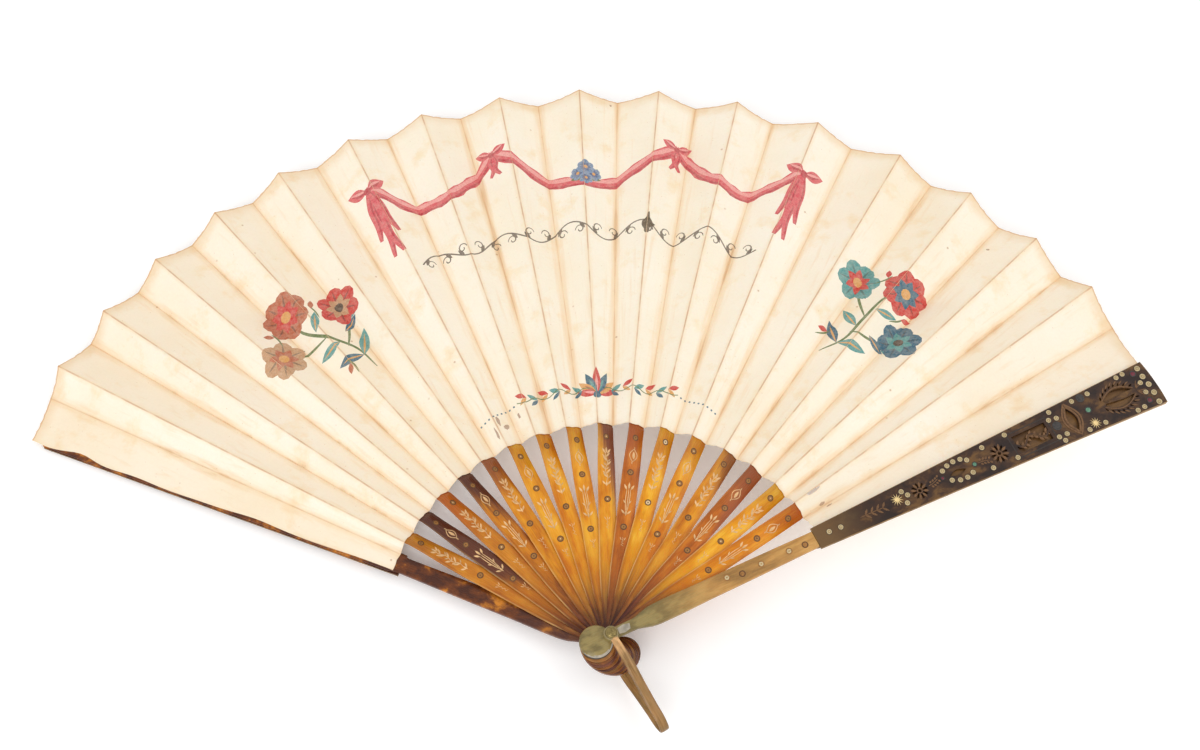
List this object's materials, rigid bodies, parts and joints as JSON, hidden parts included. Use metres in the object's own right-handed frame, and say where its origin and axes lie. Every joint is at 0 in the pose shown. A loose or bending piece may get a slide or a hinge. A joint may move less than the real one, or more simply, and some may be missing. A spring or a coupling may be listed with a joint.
{
  "type": "folding fan",
  "caption": "Pleated folding fan, open: narrow horn sticks and two carved guards turn on one rivet under a paper leaf, with a swinging loop at the head.",
  "frame": {"origin": "centre of the rivet's flat back face, on the axis that every stick turns on", "axes": "+Z along the rivet towards the front guard; +Y out along the middle of the open fan; +X towards the front guard"},
  "size_m": [0.4546, 0.2847, 0.0301],
  "materials": {
    "tortoiseshell": "polished dark mottled shell",
    "olive_horn": "polished olive horn",
    "carved_horn": "carved and pierced dark horn",
    "loop_horn": "polished horn",
    "horn_orange": "polished translucent horn",
    "horn_yellow": "polished translucent horn",
    "horn_amber": "polished translucent horn",
    "horn_red": "polished translucent horn",
    "horn_brown": "polished dark horn",
    "leaf_paper": "matt aged paper",
    "rivet_steel": "dull pale metal"
  },
  "bodies": {
    "back_guard": {"guard_back": "tortoiseshell", "guard_back_plaque": "tortoiseshell", "leaf_end_back": "leaf_paper", "rivet": "rivet_steel"},
    "stick_01": {"stick_01": "horn_orange", "leaf_panel_01": "leaf_paper", "leaf_fold_00": "leaf_paper"},
    "stick_02": {"stick_02": "horn_brown", "leaf_panel_02": "leaf_paper", "leaf_fold_01": "leaf_paper"},
    "stick_03": {"stick_03": "horn_red", "leaf_panel_03": "leaf_paper", "leaf_fold_02": "leaf_paper"},
    "stick_04": {"stick_04": "horn_brown", "leaf_panel_04": "leaf_paper", "leaf_fold_03": "leaf_paper"},
    "stick_05": {"stick_05": "horn_amber", "leaf_panel_05": "leaf_paper", "leaf_fold_04": "leaf_paper"},
    "stick_06": {"stick_06": "horn_orange", "leaf_panel_06": "leaf_paper", "leaf_fold_05": "leaf_paper"},
    "stick_07": {"stick_07": "horn_orange", "leaf_panel_07": "leaf_paper", "leaf_fold_06": "leaf_paper"},
    "stick_08": {"stick_08": "horn_yellow", "leaf_panel_08": "leaf_paper", "leaf_fold_07": "leaf_paper"},
    "stick_09": {"stick_09": "horn_brown", "leaf_panel_09": "leaf_paper", "leaf_fold_08": "leaf_paper"},
    "stick_10": {"stick_10": "horn_red", "leaf_panel_10": "leaf_paper", "leaf_fold_09": "leaf_paper"},
    "stick_11": {"stick_11": "horn_yellow", "leaf_panel_11": "leaf_paper", "leaf_fold_10": "leaf_paper"},
    "stick_12": {"stick_12": "horn_yellow", "leaf_panel_12": "leaf_paper", "leaf_fold_11": "leaf_paper"},
    "stick_13": {"stick_13": "horn_amber", "leaf_panel_13": "leaf_paper", "leaf_fold_12": "leaf_paper"},
    "stick_14": {"stick_14": "horn_red", "leaf_panel_14": "leaf_paper", "leaf_fold_13": "leaf_paper"},
    "stick_15": {"stick_15": "horn_yellow", "leaf_panel_15": "leaf_paper", "leaf_fold_14": "leaf_paper"},
    "stick_16": {"stick_16": "horn_orange", "leaf_panel_16": "leaf_paper", "leaf_fold_15": "leaf_paper"},
    "front_guard": {"guard_front": "olive_horn", "guard_front_plaque": "carved_horn", "leaf_end_front": "leaf_paper", "leaf_fold_16": "leaf_paper"},
    "loop": {"loop": "loop_horn"}
  },
  "joints": [
    {"name": "fan_fold", "type": "hinge", "parent": "back_guard", "child": "stick_01", "pos_m": [0, 0, 0], "axis": [0, 0, 1], "range_deg": [0, 6.7], "deforming": ["leaf_fold_00"]},
    {"name": "fold_stick_02", "type": "hinge", "parent": "stick_01", "child": "stick_02", "pos_m": [0, 0, 0], "axis": [0, 0, 1], "range_deg": [0, 6.7], "deforming": ["leaf_fold_01"]},
    {"name": "fold_stick_03", "type": "hinge", "parent": "stick_02", "child": "stick_03", "pos_m": [0, 0, 0], "axis": [0, 0, 1], "range_deg": [0, 7.01], "deforming": ["leaf_fold_02"]},
    {"name": "fold_stick_04", "type": "hinge", "parent": "stick_03", "child": "stick_04", "pos_m": [0, 0, 0], "axis": [0, 0, 1], "range_deg": [0, 7.32], "deforming": ["leaf_fold_03"]},
    {"name": "fold_stick_05", "type": "hinge", "parent": "stick_04", "child": "stick_05", "pos_m": [0, 0, 0], "axis": [0, 0, 1], "range_deg": [0, 7.4], "deforming": ["leaf_fold_04"]},
    {"name": "fold_stick_06", "type": "hinge", "parent": "stick_05", "child": "stick_06", "pos_m": [0, 0, 0], "axis": [0, 0, 1], "range_deg": [0, 7.71], "deforming": ["leaf_fold_05"]},
    {"name": "fold_stick_07", "type": "hinge", "parent": "stick_06", "child": "stick_07", "pos_m": [0, 0, 0], "axis": [0, 0, 1], "range_deg": [0, 7.79], "deforming": ["leaf_fold_06"]},
    {"name": "fold_stick_08", "type": "hinge", "parent": "stick_07", "child": "stick_08", "pos_m": [0, 0, 0], "axis": [0, 0, 1], "range_deg": [0, 8.1], "deforming": ["leaf_fold_07"]},
    {"name": "fold_stick_09", "type": "hinge", "parent": "stick_08", "child": "stick_09", "pos_m": [0, 0, 0], "axis": [0, 0, 1], "range_deg": [0, 8.18], "deforming": ["leaf_fold_08"]},
    {"name": "fold_stick_10", "type": "hinge", "parent": "stick_09", "child": "stick_10", "pos_m": [0, 0, 0], "axis": [0, 0, 1], "range_deg": [0, 8.1], "deforming": ["leaf_fold_09"]},
    {"name": "fold_stick_11", "type": "hinge", "parent": "stick_10", "child": "stick_11", "pos_m": [0, 0, 0], "axis": [0, 0, 1], "range_deg": [0, 8.1], "deforming": ["leaf_fold_10"]},
    {"name": "fold_stick_12", "type": "hinge", "parent": "stick_11", "child": "stick_12", "pos_m": [0, 0, 0], "axis": [0, 0, 1], "range_deg": [0, 8.41], "deforming": ["leaf_fold_11"]},
    {"name": "fold_stick_13", "type": "hinge", "parent": "stick_12", "child": "stick_13", "pos_m": [0, 0, 0], "axis": [0, 0, 1], "range_deg": [0, 8.88], "deforming": ["leaf_fold_12"]},
    {"name": "fold_stick_14", "type": "hinge", "parent": "stick_13", "child": "stick_14", "pos_m": [0, 0, 0], "axis": [0, 0, 1], "range_deg": [0, 7.94], "deforming": ["leaf_fold_13"]},
    {"name": "fold_stick_15", "type": "hinge", "parent": "stick_14", "child": "stick_15", "pos_m": [0, 0, 0], "axis": [0, 0, 1], "range_deg": [0, 7.79], "deforming": ["leaf_fold_14"]},
    {"name": "fold_stick_16", "type": "hinge", "parent": "stick_15", "child": "stick_16", "pos_m": [0, 0, 0], "axis": [0, 0, 1], "range_deg": [0, 7.09], "deforming": ["leaf_fold_15"]},
    {"name": "fold_front_guard", "type": "hinge", "parent": "stick_16", "child": "front_guard", "pos_m": [0, 0, 0], "axis": [0, 0, 1], "range_deg": [0, 9.11], "deforming": ["leaf_fold_16"]},
    {"name": "loop_swing", "type": "hinge", "parent": "back_guard", "child": "loop", "pos_m": [0, 0, 0], "axis": [0, 0, 1], "range_deg": [-120, 60]}
  ],
  "couplings": [
    {"joint": "fold_stick_02", "follows": "fan_fold", "ratio": 1},
    {"joint": "fold_stick_03", "follows": "fan_fold", "ratio": 1.0465},
    {"joint": "fold_stick_04", "follows": "fan_fold", "ratio": 1.093},
    {"joint": "fold_stick_05", "follows": "fan_fold", "ratio": 1.1047},
    {"joint": "fold_stick_06", "follows": "fan_fold", "ratio": 1.1512},
    {"joint": "fold_stick_07", "follows": "fan_fold", "ratio": 1.1628},
    {"joint": "fold_stick_08", "follows": "fan_fold", "ratio": 1.2093},
    {"joint": "fold_stick_09", "follows": "fan_fold", "ratio": 1.2209},
    {"joint": "fold_stick_10", "follows": "fan_fold", "ratio": 1.2093},
    {"joint": "fold_stick_11", "follows": "fan_fold", "ratio": 1.2093},
    {"joint": "fold_stick_12", "follows": "fan_fold", "ratio": 1.2558},
    {"joint": "fold_stick_13", "follows": "fan_fold", "ratio": 1.3256},
    {"joint": "fold_stick_14", "follows": "fan_fold", "ratio": 1.186},
    {"joint": "fold_stick_15", "follows": "fan_fold", "ratio": 1.1628},
    {"joint": "fold_stick_16", "follows": "fan_fold", "ratio": 1.0581},
    {"joint": "fold_front_guard", "follows": "fan_fold", "ratio": 1.3605}
  ]
}
